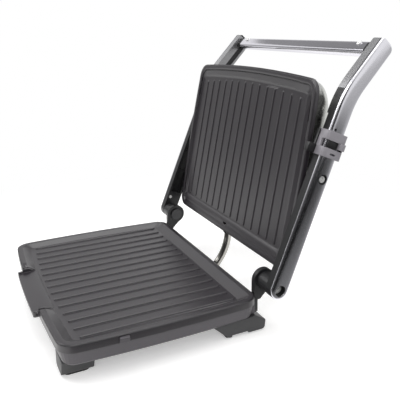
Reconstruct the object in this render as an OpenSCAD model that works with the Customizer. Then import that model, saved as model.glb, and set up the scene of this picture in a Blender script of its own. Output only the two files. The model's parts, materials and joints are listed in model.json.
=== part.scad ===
// Contact grill: a ribbed base plate, a floating upper plate carried between
// two cranked arms, a crossbar handle and a sliding lid clip.
//
// Z is up, X is to the user's right and Y is to the back. The origin is on
// the table, under the middle of the space that the open grill takes up. The
// lid stands open, leaning on its stop.

/* [Plates] */
// Width of a plate across its corners
plate_w = 288; // [240:1:360]
// Depth of a plate, back edge to front corners
plate_d = 211.5; // [180:0.5:260]
// Outward bow of the front edge
front_bow = 5.5; // [0:0.5:10]
// Outward bow of each side edge
side_bow = 3.7; // [0:0.1:6]
// Corner radius of a plate
plate_r = 15; // [10:1:24]
// Width of the rim round the cooking well
rim_w = 6.5; // [5:0.5:10]
// Slope between the rim and the well floor, in plan
well_slope = 3.5; // [1:0.5:6]
// Wall thickness of the skirt
skirt_t = 2.4; // [1.6:0.1:4]
// Height of the lower plate's skirt
lower_skirt = 9; // [7:0.5:14]
// Height of the upper plate's skirt
upper_skirt = 5; // [4:0.5:9]
// Depth of the well floor below the rim
well_d = 7.2; // [5:0.1:10]
// Thickness of the well floor
floor_t = 3.5; // [2.5:0.1:5]
// Thickness of the upper well's floor, lighter so that the open grill stands
lid_floor_t = 2.8; // [2.2:0.1:5]

/* [Ribs] */
// Spacing of the ribs
rib_pitch = 18.05; // [15:0.05:22]
// Width of a rib
rib_w = 4.8; // [3:0.1:7]
// Least distance from the outermost rib to the plate's side
rib_side = 16; // [14:0.5:30]
// Crest of the lower ribs below the rim
lower_crest = 4.3; // [2:0.1:5]
// Crest of the upper ribs below the rim
upper_crest = 3.6; // [2:0.1:5]
// Gap between the back edge and the ribs
rib_back = 21.6; // [16:0.1:30]
// Gap between the outermost ribs and the front corners
rib_end = 21.5; // [19:0.5:40]
// Extra reach of the middle ribs
rib_arch = 7.5; // [0:0.5:9]

/* [Spout] */
// Width of the drip spout
spout_w = 114; // [60:1:160]
// Reach of the spout beyond the front edge
spout_out = 5.5; // [3:0.5:9]
// Drop of the spout floor below the rim
spout_drop = 5.2; // [3:0.1:6.5]
// Width of the notch at each end of the spout
spout_notch = 2.2; // [1:0.1:4]
// Corner radius of the spout
spout_r = 4; // [2:0.5:6]
// Top of the spout's cheeks below the rim
cheek_drop = 3; // [1.5:0.1:5]

/* [Heating] */
// Radius of the heating elements
heater_r = 3.3; // [2.5:0.1:3.5]
// Set-back of the elements from the plate's sides
heater_in = 28; // [22:1:36]
// Set-back of the elements from the plate's ends
heater_end = 34; // [28:1:44]
// Radius of the elements' bends
heater_bend = 26; // [16:1:32]
// Half the gap between an element's two ends
heater_gap = 16; // [10:1:24]
// Set-back of the reflectors from the plate's edge
reflector_in = 20; // [18:1:26]
// Height of the reflectors
reflector_h = 5; // [3:0.5:7]
// Radius of a thermostat
thermostat_r = 9; // [7:0.5:11]
// Height of a thermostat
thermostat_h = 7; // [5:0.5:8]

/* [Base] */
// Height of the lower plate's rim above the table
rim_z = 44; // [40:1:60]
// Depth of the housing's side band below the skirt
band_h = 15.5; // [12:0.5:18]
// Set-back of the band's top edge
band_top_in = 1.4; // [1:0.1:3]
// Set-back of the band's bottom edge
band_low_in = 5; // [3.5:0.5:9]
// Wall thickness of the housing
housing_t = 2.4; // [1.8:0.1:3.2]
// Width of the removable bottom cover
pan_w = 172; // [120:1:180]
// Depth of the removable bottom cover
pan_d = 150; // [100:1:160]
// Back edge to the bottom cover
pan_back = 30; // [28:1:50]
// Drop of the bottom cover
pan_h = 8.5; // [5:0.5:12]
// Thickness of pressed sheet parts
sheet_t = 1.2; // [0.8:0.1:2]
// Plate's side to each plate post
post_in = 44; // [40:1:48]
// Back edge to the rear posts
post_back = 62; // [60:1:75]
// Front edge to the front posts
post_fore = 61.5; // [52:0.5:70]
// Radius of a plate post
post_r = 4.5; // [3.5:0.1:5]
// Width of the wiring entry box
entry_w = 48; // [40:1:60]
// Depth of the wiring entry box
entry_d = 25.4; // [22:0.1:30]
// Drop of the wiring entry box
entry_h = 13; // [12:0.5:14]

/* [Feet] */
// Width of a foot
foot_w = 31; // [24:1:36]
// Set-back of the front feet from the plate's side
front_foot_in = 14; // [12:1:26]
// Set-back of the rear feet from the plate's side
rear_foot_in = 6; // [4:1:18]
// Length of a front foot
front_foot_d = 32; // [24:1:40]
// Reach of the rear feet behind the plate
rear_foot_out = 12; // [6:1:16]
// Height of the rubber pad under a foot
pad_h = 1.6; // [1:0.1:2.5]

/* [Hinge] */
// Hinge axis behind the plate's back edge
hinge_y = 13.2; // [12.5:0.1:16]
// Hinge axis above the rim
hinge_z = 13.5; // [12.5:0.1:16]
// Radius of the hinge pin
pin_r = 5; // [4:0.1:5.5]
// Running clearance round a moving pin, radial
run_gap = 0.05; // [0.03:0.01:0.1]
// Gap kept between parts that pass each other
pass_gap = 0.4; // [0.3:0.05:0.6]
// Radius of the bracket's rounded head
ear_r = 13; // [11.5:0.1:13.2]
// Plate's side to the inner face of a hinge bracket
ear_in = 18; // [17:0.5:22]
// Thickness of a hinge bracket
ear_t = 6; // [4:0.5:6.5]
// Radius of the hinge barrel
barrel_r = 10.2; // [9:0.1:10.4]
// Reach of a bracket's foot towards the middle
ear_foot = 12; // [10:0.5:16]
// Height of a bracket's foot
ear_foot_h = 13; // [11:0.5:14]

/* [Arms] */
// Lean of the arms behind upright when open
arm_lean = 22.32; // [15:0.01:30]
// Gap between the plates and the arms
arm_gap = 1.3; // [1:0.1:4]
// Width of an arm
arm_w = 16.2; // [14:0.1:20]
// Depth of an arm, front to back
arm_d = 20.9; // [18:0.1:24]
// Hinge axis to the knee
arm_lower = 219.4; // [212:0.1:240]
// Knee to the end of the arm
arm_upper = 72.1; // [66:0.1:85]
// Bend at the knee
arm_bend = 20.18; // [10:0.01:30]
// Radius of the knee's centre line
bend_r = 100; // [60:1:140]
// Wall thickness of the arm's metal cover
cover_t = 1.4; // [1:0.1:2]
// Depth of the cover's rounding
crown_d = 3.6; // [2:0.1:3.9]
// Squareness of the cover's rounding
crown_power = 3.2; // [2.4:0.1:6]
// Set-back of the lower core's inner face
core_in = 2.4; // [1:0.1:3.5]
// Dark seam between the outer cover and the inner channel
seam_w = 0.8; // [0.5:0.1:1.5]
// Depth of the hinge screw recess
hinge_recess = 8.6; // [7:0.1:10]
// Radius of the hinge screw recess
hinge_recess_r = 6.2; // [5.5:0.1:7]
// Depth of the pivot screw recess
pivot_recess = 4.5; // [4:0.1:6]
// Radius of the pivot screw recess
pivot_recess_r = 4.9; // [4.4:0.1:6]
// Length of the knee block below the knee
knee_low = 24; // [20:0.5:30]
// Length of the knee block above the knee
knee_up = 4; // [2:0.5:8]
// Thickness of an arm's end cap
cap_t = 2.2; // [1.5:0.1:4]
// Spacing of the stiffening ribs inside an arm
pocket_pitch = 33; // [24:1:40]
// Hinge axis to the arm's index mark
mark_up = 180; // [178:1:186]

/* [Handle] */
// Crossbar centre beyond the knee
bar_up = 62.1; // [52:0.1:63]
// Crossbar centre ahead of the arm's centre line
bar_fore = 0.5; // [0:0.1:2]
// Height of the crossbar's section
bar_h = 17; // [13:0.5:18]
// Depth of the crossbar's section
bar_d = 12; // [9:0.5:14]
// Corner radius of the crossbar
bar_r = 5; // [3:0.1:5.5]
// Length of the black boss between the crossbar and an arm
bar_gap = 9; // [5:0.5:13]
// Wall thickness of the crossbar
bar_t = 0.8; // [0.6:0.1:2]
// Crossbar's end to its screw
bar_screw_in = 13; // [8:0.5:16]
// Crossbar's screws above its middle
bar_screw_up = 3.4; // [0:0.1:3.5]

/* [Upper plate] */
// Lean of the upper plate behind upright when open
lid_lean = 10.82; // [8:0.01:14]
// Hinge axis to the plate pivot along the arm
pivot_up = 126.37; // [124:0.01:129]
// Plate pivot behind the arm's centre line
pivot_back = 2.5; // [1:0.1:4]
// Back edge of the plate to the pivot
pivot_u = 109.2; // [108.6:0.1:110]
// Plate rim to the pivot
pivot_in = 15.1; // [14.6:0.1:15.6]
// Depth of the domed cover behind the rim
dome_d = 42.5; // [38:0.5:46]
// Inward sweep of the dome's shoulder
dome_round = 40; // [25:1:42]
// Thickness of the domed cover
dome_t = 0.5; // [0.4:0.1:1.5]
// Radius of the pivot pin
pivot_r = 3; // [2.5:0.1:3.2]
// Plate's side to the pivot bracket
bracket_in = 8; // [7.5:0.1:12]
// Width of the pivot bracket
bracket_w = 44; // [30:1:60]

/* [Clip] */
// Lower edge of the clip above the hinge axis
clip_z = 149.8; // [146:0.1:152]
// Length of the clip along the arm
clip_len = 28; // [22:0.5:32]
// Thickness of the clip
clip_t = 2.7; // [2:0.1:3.5]
// Running gap between the clip and the arm
clip_gap = 0.35; // [0.3:0.05:0.5]
// Corner radius of the clip
clip_r = 3.6; // [2:0.1:4]
// Width of each band of the clip
clip_band = 9.8; // [7:0.1:11]
// Slide of the clip from open to locked
clip_slide = 10; // [8:0.5:12]
// Reach of the hook ahead of the arm
hook_out = 12.6; // [11.5:0.1:13]
// Thickness of the hook's nose
nose_t = 2.4; // [1.6:0.1:3]
// Reach of the thumb tab beyond the clip
tab_out = 2.6; // [1.5:0.1:4]

/* [Conduit] */
// Radius of the wiring conduit
conduit_r = 4.1; // [3:0.1:4.5]
// Conduit centre below the rim where it leaves the base
conduit_z = 27; // [26:0.5:29]
// Wall of the gland where the conduit enters the lid
gland_wall = 1.2; // [1:0.1:2]
// Straight run of the conduit between its bends
conduit_mid = 4; // [2:0.5:6]
// Turn of the conduit's lower bend
conduit_turn = 50; // [48:1:52]
// Radius of the power cord's entry
cord_r = 3.2; // [2.5:0.1:4]
// Middle to the power cord's entry
cord_x = 52; // [45:1:60]

/* [Hidden] */
$fn = 48;
eps = 0.02;
// the clip's tab sticks out on the right, so the grill stands a little left
mid_x = -(clip_gap + clip_t + tab_out) / 2;
tip_lean = arm_lean + arm_bend;
back_reach = hinge_y + arm_lower * sin(arm_lean) + (arm_upper - 9) * sin(tip_lean)
  + (arm_d / 2 - 9) * cos(tip_lean) + 9;
mid_y = -(back_reach - plate_d - front_bow - spout_out) / 2;
lower_ribs = 2 * floor((plate_w / 2 - rib_side) / rib_pitch) + 1;
upper_ribs = 2 * floor((plate_w / 2 - rib_side) / rib_pitch + 0.5);
post_x = plate_w / 2 - post_in;
post_front = plate_d - post_fore;
front_foot_x = plate_w / 2 - front_foot_in;
rear_foot_x = plate_w / 2 - rear_foot_in;
ear_x = plate_w / 2 - ear_in;
arm_x = plate_w / 2 + side_bow + arm_gap;
bar_x = arm_x - bar_gap;
bar_screw_x = bar_x - bar_screw_in;
bracket_x = plate_w / 2 - bracket_in;
band_low = -lower_skirt - band_h;
floor_low = -well_d - floor_t;
lid_floor = -well_d - lid_floor_t;
housing_floor = band_low + housing_t;
half_d = arm_d / 2;
arm_out = arm_x + arm_w;
seam_x = arm_out - 4;
bend_z = arm_lower - bend_r * tan(arm_bend / 2);
bend_on = arm_upper - bend_r * tan(arm_bend / 2);
heater_z = floor_low - heater_r;
boss_top = heater_z - heater_r - 1.9;
conduit_y = 1.6;
steel = [0.82, 0.82, 0.84];
black = [0.09, 0.09, 0.1];
charcoal = [0.22, 0.22, 0.23];
grey = [0.42, 0.42, 0.43];

// ---- frames ----

// Lower plate: origin at the middle of its back edge, on the rim
module base_frame() translate([mid_x, mid_y, rim_z]) children();

// Arm: origin on the hinge axis, Z along the arm, Y to its back
module arm_frame(side = 1) base_frame() translate([0, hinge_y, hinge_z])
  rotate([-arm_lean, 0, 0]) mirror([side < 0 ? 1 : 0, 0, 0]) children();

// Upper part of the arm: origin at the knee, Z towards the arm's end
module knee_frame(side = 1) arm_frame(side) translate([0, 0, arm_lower])
  rotate([-arm_bend, 0, 0]) children();

// Upper plate: the same layout as the lower plate, turned over
module lid_frame() arm_frame() translate([0, pivot_back, pivot_up])
  rotate([arm_lean - 90 - lid_lean, 0, 0]) rotate([0, 180, 0])
  translate([0, pivot_u, pivot_in]) children();

module both() {
  children();
  mirror([1, 0, 0]) children();
}

// Cylinder along +X from x to x + h
module xcyl(r, h, x = 0) translate([x, 0, 0]) rotate([0, 90, 0])
  cylinder(r = r, h = h);

// ---- plate outlines ----

function arc(c, r, a0, a1, n) = [for (i = [0:n]) let (a = a0 + (a1 - a0) * i / n)
  [c[0] + r * cos(a), c[1] + r * sin(a)]];
function between(a, b, n) = [for (i = [1:n - 1]) a + (b - a) * i / n];

// Rounded rectangle hung from its back edge, traced from the back right
function frame_pts(w, d, r) = let (x = w / 2 - r, y = d - r)
  concat(arc([x, -r], r, 0, 90, 5), between([x, 0], [-x, 0], 4),
    arc([-x, -r], r, 90, 180, 5), between([-w / 2, -r], [-w / 2, -y], 7),
    arc([-x, -y], r, 180, 270, 5), between([-x, -d], [x, -d], 10),
    arc([x, -y], r, 270, 360, 5), between([w / 2, -y], [w / 2, -r], 7));
// Bows the sides and the front edge outwards
function bowed(p, w, d) = let (h = 2 * p[0] / w, v = 1 + 2 * p[1] / d)
  [p[0] + side_bow * h * (1 - v * v),
   p[1] - front_bow * (1 - h * h) * max(0, -v)];

module outline(inset = 0, r = 0) {
  w = plate_w - 2 * inset;
  d = plate_d - 2 * inset;
  turn = r > 0 ? r : max(4, plate_r - inset);
  translate([0, -inset]) polygon([for (p = frame_pts(w, d, turn)) bowed(p, w, d)]);
}
module layer(z, h, inset, r = 0) translate([0, 0, z]) linear_extrude(h)
  outline(inset, r);

// ---- plates ----

// Rib with a half-round crest and rounded ends
module rib(x, reach, crest) {
  r = rib_w / 2;
  low = -well_d - 0.4;
  wall = -crest - r - low;
  translate([x, -rib_back - r, low]) {
    translate([0, 0, wall]) {
      sphere(r, $fn = 24);
      rotate([90, 0, 0]) cylinder(r = r, h = reach - rib_back - rib_w, $fn = 24);
      translate([0, -(reach - rib_back - rib_w), 0]) sphere(r, $fn = 24);
    }
    cylinder(r = r, h = wall, $fn = 24);
    translate([-r, -(reach - rib_back - rib_w), 0])
      cube([rib_w, reach - rib_back - rib_w, wall]);
    translate([0, -(reach - rib_back - rib_w), 0])
      cylinder(r = r, h = wall, $fn = 24);
  }
}

module ribs(count, crest) {
  half = (count - 1) / 2;
  for (k = [0:count - 1]) {
    x = (k - half) * rib_pitch;
    rib(x, plate_d - rib_end + rib_arch * (1 - pow((k - half) / half, 2)), crest);
  }
}

// Rim, skirt and well floor, cast in one
module casting(skirt, low = floor_low) {
  difference() {
    union() {
      layer(-skirt, skirt - 1.1, 0);
      layer(-1.1 - eps, 0.7 + eps, 0.4);
      layer(-0.4 - eps, 0.4 + eps, 1.2);
      layer(low, -low - 2, rim_w - 1, plate_r - 3);
    }
    hull() {
      layer(0.1, 0.1, rim_w - 0.1, plate_r - 5);
      layer(-well_d, eps, rim_w + well_slope, plate_r - 6);
    }
    difference() {
      layer(-skirt - 1, skirt - 2, skirt_t);
      layer(-skirt - 2, skirt + 2, rim_w - 1, plate_r - 3);
    }
  }
}

module posts() for (x = [-post_x, post_x], y = [-post_back, -post_front])
  translate([x, y, 0]) children();

module lower_plate() color(charcoal) base_frame() {
  difference() {
    union() {
      casting(lower_skirt);
      posts() translate([0, 0, boss_top]) cylinder(r = post_r, h = floor_low - boss_top + 1);
      // spout floor, a shelf that runs out under the front rim
      translate([0, 0, -lower_skirt]) linear_extrude(lower_skirt - spout_drop) spout_plan();
      // upturned cheeks that guide the drip
      translate([0, 0, -lower_skirt]) linear_extrude(lower_skirt - cheek_drop)
        difference() {
          spout_plan();
          translate([-spout_w / 2 + 3, -plate_d - 60]) square([spout_w - 6, 120]);
        }
    }
    // break in the rim at the spout
    translate([-spout_w / 2 + 3, -plate_d - front_bow - 1, -spout_drop])
      cube([spout_w - 6, rim_w + front_bow + 1, spout_drop + 1]);
    for (s = [-1, 1]) translate([s * (spout_w / 2 + spout_notch / 2) - spout_notch / 2,
      -plate_d - front_bow - 2, -spout_drop])
      cube([spout_notch, front_bow + 6, spout_drop + 1]);
    posts() translate([0, 0, boss_top - 1]) cylinder(r = 2.05, h = 7);
  }
  ribs(lower_ribs, lower_crest);
}

module spout_plan() intersection() {
  translate([0, -spout_out]) outline(0);
  translate([0, 3 - plate_d - (front_bow + spout_out) / 2])
    round_rect(spout_w, 6 + front_bow + spout_out, spout_r);
}

module upper_plate() color(charcoal) lid_frame() {
  difference() {
    union() {
      casting(upper_skirt, lid_floor);
      posts() translate([0, 0, boss_top]) cylinder(r = post_r, h = lid_floor - boss_top + 1);
    }
    lid_gland_at() translate([0, 0, -8]) cylinder(r = gland_r + 0.1, h = 16);
    both() translate([0, -pivot_u, -pivot_in]) xcyl(pivot_boss_r + 0.4, 20, bracket_x + 1);
    posts() translate([0, 0, boss_top - 1]) cylinder(r = 2.05, h = 7);
  }
  ribs(upper_ribs, upper_crest);
}

// ---- heating ----

// Sheathed element bent into an open loop with its ends at the back
module heater(hw = plate_w / 2 - heater_in, back = heater_end,
  front = plate_d - heater_end, r = heater_bend) color(steel) translate([0, 0, heater_z]) {
    for (s = [-1, 1]) {
      translate([s * hw, -back - r, 0]) rotate([90, 0, 0])
        cylinder(r = heater_r, h = front - back - 2 * r);
      translate([s * heater_gap, -back, 0]) rotate([0, s * 90, 0])
        cylinder(r = heater_r, h = hw - r - heater_gap);
    }
    translate([-(hw - r), -front, 0]) rotate([0, 90, 0])
      cylinder(r = heater_r, h = 2 * (hw - r));
    for (c = [[1, -back, 0], [-1, -back, 90], [-1, -front, 180], [1, -front, 270]])
      translate([c[0] * (hw - r), c[1] + (c[2] < 180 ? -r : r), 0]) rotate([0, 0, c[2]])
        rotate_extrude(angle = 90) translate([r, 0]) circle(heater_r);
  }

// Shallow tin that throws the heat back at the plate
module reflector() color(steel) difference() {
  layer(boss_top, reflector_h, reflector_in, 12);
  layer(boss_top + 0.6, reflector_h, reflector_in + 0.6, 11.4);
  posts() translate([0, 0, boss_top - 1]) cylinder(r = post_r + 0.1, h = 3);
}

module thermostat() color(grey) translate([0, -plate_d / 2, floor_low - thermostat_h]) {
  cylinder(r = thermostat_r, h = thermostat_h);
  for (s = [-1, 1]) translate([s * (thermostat_r + 2) - 3, -3, 0]) cube([6, 6, 1]);
  translate([-thermostat_r - 7, -4, thermostat_h - 1]) cube([2 * thermostat_r + 14, 8, 1]);
}

module lower_heater() base_frame() heater();
module upper_heater() lid_frame() translate([0, 0, lid_floor - floor_low]) heater();
module lower_reflector() base_frame() reflector();
module upper_reflector() lid_frame() reflector();
module lower_thermostat() base_frame() thermostat();
module upper_thermostat() lid_frame()
  translate([0, 0, lid_floor - floor_low]) thermostat();

// ---- base ----

module pan_plan(grow = 0, r = 12) translate([0, -pan_back - pan_d / 2]) round_rect(pan_w + 2 * grow,
  pan_d + 2 * grow, r + grow);
module round_rect(w, h, r) {
  square([w - 2 * r, h], center = true);
  square([w, h - 2 * r], center = true);
  for (x = [-1, 1], y = [-1, 1]) translate([x * (w / 2 - r), y * (h / 2 - r)]) circle(r);
}

module base_housing() color(grey) base_frame() difference() {
  union() {
    difference() {
      union() {
        hull() {
          layer(-lower_skirt - 0.02, 0.02, band_top_in);
          layer(band_low + 2.2, 0.1, band_low_in - 0.8);
          layer(band_low, 0.1, band_low_in + 1.4);
        }
        // lip that centres the plate inside its skirt
        layer(-lower_skirt - eps, 4, skirt_t + 0.3);
      }
      hull() {
        layer(-lower_skirt + 5, 0.1, skirt_t + 0.3 + housing_t, 9);
        layer(housing_floor, 0.1, band_low_in + housing_t, 9);
      }
      layer(floor_low - 0.3, lower_skirt, skirt_t + 0.3 + housing_t);
      translate([-spout_w / 2 - 1, -plate_d - front_bow - 1, -lower_skirt])
        cube([spout_w + 2, front_bow + 12, lower_skirt]);
    }
    posts() translate([0, 0, band_low]) cylinder(r = post_r + 2, h = boss_top - band_low);
    // entry box for the wiring
    translate([-entry_w / 2, -entry_d - 0.6, band_low - entry_h])
      cube([entry_w, entry_d, entry_h + 3]);
    // rear pads for the hinge brackets
    both() translate([ear_x - ear_foot, -5, foot_z]) cube([ear_t + ear_foot + 2, 5, ear_foot_h]);
  }
  posts() translate([0, 0, band_low - 1]) {
    cylinder(r = 2.4, h = 20);
    cylinder(r = 4.2, h = 3);
  }
  translate([0, 0, band_low - 1]) linear_extrude(housing_t + 2) pan_plan(-9, 9);
  translate([housing_t - entry_w / 2, housing_t - entry_d - 0.6, housing_t + band_low - entry_h])
    cube([entry_w - 2 * housing_t, entry_d - 2 * housing_t, entry_h + 9]);
  translate([0, -4, -conduit_z]) rotate([-90, 0, 0]) cylinder(r = conduit_r + 1.6, h = 8);
  cord_at() rotate([-90, 0, 0]) translate([0, 0, -9]) cylinder(r = cord_r + 1.9, h = 12);
  cover_holes() translate([0, 0, band_low - 1]) cylinder(r = 1.45, h = 6);
  both() ear_holes() translate([0, 0, -9]) cylinder(r = 1.55, h = 12);
}
foot_z = band_low + 1.5;
// Places of the screws that hold the bottom cover
module cover_holes() for (x = [-1, 1], y = [pan_back + 15, pan_back + pan_d - 15])
  translate([x * (pan_w / 2 - 4), -y, 0]) children();
// Places of the screws that hold a hinge bracket, pointing backwards
module ear_holes() for (z = [foot_z + 2.5, foot_z + ear_foot_h - 3.5])
  translate([ear_x - 7, 0, z]) rotate([-90, 0, 0]) children();

module bottom_cover() color(charcoal) base_frame() difference() {
  union() {
    translate([0, 0, band_low - sheet_t]) linear_extrude(sheet_t) pan_plan();
    hull() {
      translate([0, 0, band_low - sheet_t]) linear_extrude(0.1) pan_plan(-9.6, 9.6);
      translate([0, 0, band_low - pan_h]) linear_extrude(0.1) pan_plan(-15, 9);
    }
  }
  hull() {
    translate([0, 0, band_low + 0.1]) linear_extrude(0.1) pan_plan(-10.8, 9.6);
    translate([0, 0, band_low - pan_h + sheet_t]) linear_extrude(0.1) pan_plan(-16, 9);
  }
  cover_holes() translate([0, 0, band_low - 3]) cylinder(r = 1.7, h = 6);
  for (k = [-3:3]) translate([k * 13, -pan_back - pan_d / 2, band_low - pan_h - 1])
    slot(4.4, 70, pan_h);
}
// Round-ended slot along Y
module slot(w, l, h) {
  translate([-w / 2, -l / 2 + w / 2, 0]) cube([w, l - w, h]);
  for (s = [-1, 1]) translate([0, s * (l - w) / 2, 0]) cylinder(r = w / 2, h = h);
}

module bottom_screws() color(steel) base_frame() cover_holes()
  translate([0, 0, band_low - sheet_t]) difference() {
    union() {
      translate([0, 0, -1.6]) cylinder(r = 3, h = 1.6);
      translate([0, 0, -eps]) cylinder(r = 1.4, h = 3.2);
    }
    cross(2.6, -1.7, 1.1);
  }

// Cross slot in a screw head, cut from z upwards
module cross(w, z, h) for (a = [0, 90]) rotate([0, 0, a])
  translate([-w / 2, -0.35, z]) cube([w, 0.7, h]);

module plate_screws() color(steel) base_frame() posts() difference() {
  union() {
    translate([0, 0, band_low]) cylinder(r = 3.8, h = 2);
    translate([0, 0, band_low + 1.9]) cylinder(r = 2, h = boss_top - band_low + 3);
  }
  cross(4.6, band_low - 0.1, 1.3);
}

module front_feet() color(black) base_frame() both()
  translate([0, -plate_d + 2.5 + front_foot_d, band_low]) rotate([90, 0, 0])
  linear_extrude(front_foot_d) front_foot_side();
module front_foot_side() hull() {
  translate([front_foot_x - foot_w, -0.5]) square([foot_w, 0.5]);
  translate([front_foot_x - foot_w + 5, -foot_drop + 5]) circle(5);
  translate([front_foot_x - 10.5, -foot_drop + 5]) circle(5);
}
foot_drop = rim_z + band_low - pad_h;

module rear_feet() color(black) base_frame() both()
  translate([rear_foot_x - foot_w, 0, 0]) rotate([90, 0, 90]) linear_extrude(foot_w)
  rear_foot_side();
// Side view of a rear foot: raked front, shelf that runs out behind the base
module rear_foot_side() difference() {
  polygon(concat([[-54, band_low], [-38, band_low - foot_drop + 3],
    [-34, band_low - foot_drop]],
    arc([rear_foot_out - 4.6, band_low - foot_drop + 4], 4, 270, 340, 4),
    [[rear_foot_out, band_low - 8], [rear_foot_out - 0.6, band_low - 6.5],
     [-1.5, band_low + 1.2], [-4, band_low]]));
  translate([-30, band_low - foot_drop - 1]) square([20, 3]);
}

module foot_pads() color(black) base_frame() both() {
  translate([front_foot_x - foot_w / 2 - 3, -plate_d + 2.5 + front_foot_d / 2, -rim_z])
    linear_extrude(pad_h) round_rect(foot_w - 12, front_foot_d - 8, 4);
  translate([rear_foot_x - foot_w / 2, rear_foot_out - 10, -rim_z]) linear_extrude(pad_h)
    round_rect(foot_w - 8, 10.6, 3);
  translate([rear_foot_x - foot_w / 2, -33, -rim_z]) linear_extrude(pad_h)
    round_rect(foot_w - 8, 5, 2);
}

module latch_lug() color(charcoal) base_frame()
  translate([side_x(lug_y - 10) + 0.06, -lug_y, 0]) {
    translate([0, 0, -8.6]) cube([1.5, 10, 6.6]);
    translate([0, 0, -4.2]) cube([lug_out, 9.4, 2.2]);
  }
lug_out = arm_gap + 3.1;
lug_y = clip_z + clip_slide + clip_band - hinge_y + 0.6;
// Half width of a plate at a distance from its back edge
function side_x(y) = plate_w / 2 + side_bow * (1 - pow(1 - 2 * y / plate_d, 2));

// ---- hinge ----

// Side view of the bracket's ear about the hinge axis
module ear_side() {
  circle(ear_r);
  polygon([[-hinge_y - 0.4, -4.9], [-ear_r + 0.1, 1.5], [0, ear_r], [ear_r - 1, -5],
    [9.1, -7.9], [-1.2, -17.7], [-5, -21.8], [-8.4, -22], [-8.4, band_low + 2.2 - hinge_z],
    [-hinge_y + 0.1, band_low + 2.2 - hinge_z], [-hinge_y + 0.1, -13], [-hinge_y - 0.4, -12.4]]);
}

module hinge_bracket(side) color(black) base_frame() mirror([side < 0 ? 1 : 0, 0, 0])
  difference() {
    union() {
      translate([ear_x, hinge_y, hinge_z]) rotate([90, 0, 90]) linear_extrude(ear_t)
        intersection() {
          ear_side();
          translate([-hinge_y + 0.1, -60]) square([60, 90]);
        }
      translate([ear_x - ear_foot, 0.1, foot_z]) cube([ear_t + ear_foot, 2.6, ear_foot_h]);
    }
    translate([0, hinge_y, hinge_z]) xcyl(pin_r, ear_t + 2, ear_x - 1);
    ear_holes() translate([0, 0, -1]) cylinder(r = 1.8, h = 6);
  }
module hinge_bracket_right() hinge_bracket(1);
module hinge_bracket_left() hinge_bracket(-1);

module bracket_screws() color(steel) base_frame() both() ear_holes()
  translate([0, 0, 2.7]) difference() {
    union() {
      cylinder(r = 2.9, h = 1.5);
      translate([0, 0, -8]) cylinder(r = 1.5, h = 8.1);
    }
    cross(3.6, 0.6, 1);
  }

pin_end = arm_out - hinge_recess + 0.3;
module hinge_pins() color(steel) base_frame() both() translate([0, hinge_y, hinge_z])
  difference() {
    union() {
      xcyl(8, 2.4, ear_x - 2.4);
      xcyl(pin_r, pin_end - ear_x + eps, ear_x - eps);
    }
    xcyl(2.05, 20, pin_end - 10);
  }

module hinge_washers() color(steel) base_frame() both() translate([0, hinge_y, hinge_z])
  difference() {
    xcyl(hinge_recess_r - 0.4, 0.9, pin_end);
    xcyl(2.05, 4, pin_end - 1);
  }

module hinge_screws() color(steel) base_frame() both() translate([0, hinge_y, hinge_z])
  difference() {
    union() {
      xcyl(3.4, 2.2, pin_end + 0.9);
      xcyl(2, 10, pin_end - 9);
    }
    translate([pin_end + 3.1, 0, 0]) rotate([0, -90, 0]) cross(4.2, -0.1, 1.2);
  }

module hinge_barrels() color(black) arm_frame() both() difference() {
  xcyl(barrel_r, arm_x + core_in - ear_x - ear_t - pass_gap, ear_x + ear_t + pass_gap);
  xcyl(pin_r + run_gap, 40, ear_x);
}

// ---- arms ----

// Side view of an arm about the hinge axis, shrunk by inset
module arm_side(inset = 0) {
  h = half_d - inset;
  t = [sin(arm_bend), cos(arm_bend)];
  n = [cos(arm_bend), -sin(arm_bend)];
  tip = [bend_r * (1 - cos(arm_bend)), bend_z + bend_r * sin(arm_bend)]
    + (bend_on - inset) * t;
  rb = 9 - inset;
  rf = 3 - inset / 2;
  polygon(concat(arc([0, 0], h, 180, 360, 18),
    [for (i = [0:8]) let (a = arm_bend * i / 8)
      [bend_r - (bend_r - h) * cos(a), bend_z + (bend_r - h) * sin(a)]],
    [for (i = [0:6]) let (a = 90 * i / 6)
      tip + (h - rb) * n - rb * t + rb * (cos(a) * n + sin(a) * t)],
    [for (i = [6:10]) let (a = 90 + 90 * (i - 6) / 4)
      tip - (h - rf) * n - rf * t + rf * (cos(a) * n + sin(a) * t)],
    [for (i = [8:-1:0]) let (a = arm_bend * i / 8)
      [bend_r - (bend_r + h) * cos(a), bend_z + (bend_r + h) * sin(a)]]));
}
module slab(x0, x1) translate([x0, 0, 0]) rotate([90, 0, 90]) linear_extrude(x1 - x0)
  children();
// Regions of the side view, above the knee, round it, and at the tip
module above_knee(up = 0) translate([0, arm_lower]) rotate(-arm_bend / 2)
  translate([-40, up]) square([80, 120]);
module tip_zone(t) translate([0, arm_lower]) rotate(-arm_bend)
  translate([-40, arm_upper - t]) square([80, 30]);
module upright(z0, z1) translate([-40, z0]) square([80, z1 - z0]);

bracket_z = arm_lower - knee_low;

// Half of the cover's crowned section: distances from the middle of the arm
// and from the middle of the grill, on a superellipse
function crown(cut) = [for (i = [0:9])
  [(half_d - cut) * pow(sin(10 * i), 2 / crown_power),
   arm_out - crown_d + (crown_d - cut) * pow(cos(10 * i), 2 / crown_power)]];
// The whole section, with its front edge first
function crown_round(cut) = let (c = crown(cut), h = half_d - cut) concat([[-h, seam_x]],
  [for (i = [9:-1:1]) [-c[i][0], c[i][1]]], c, [[h, seam_x]]);

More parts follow.
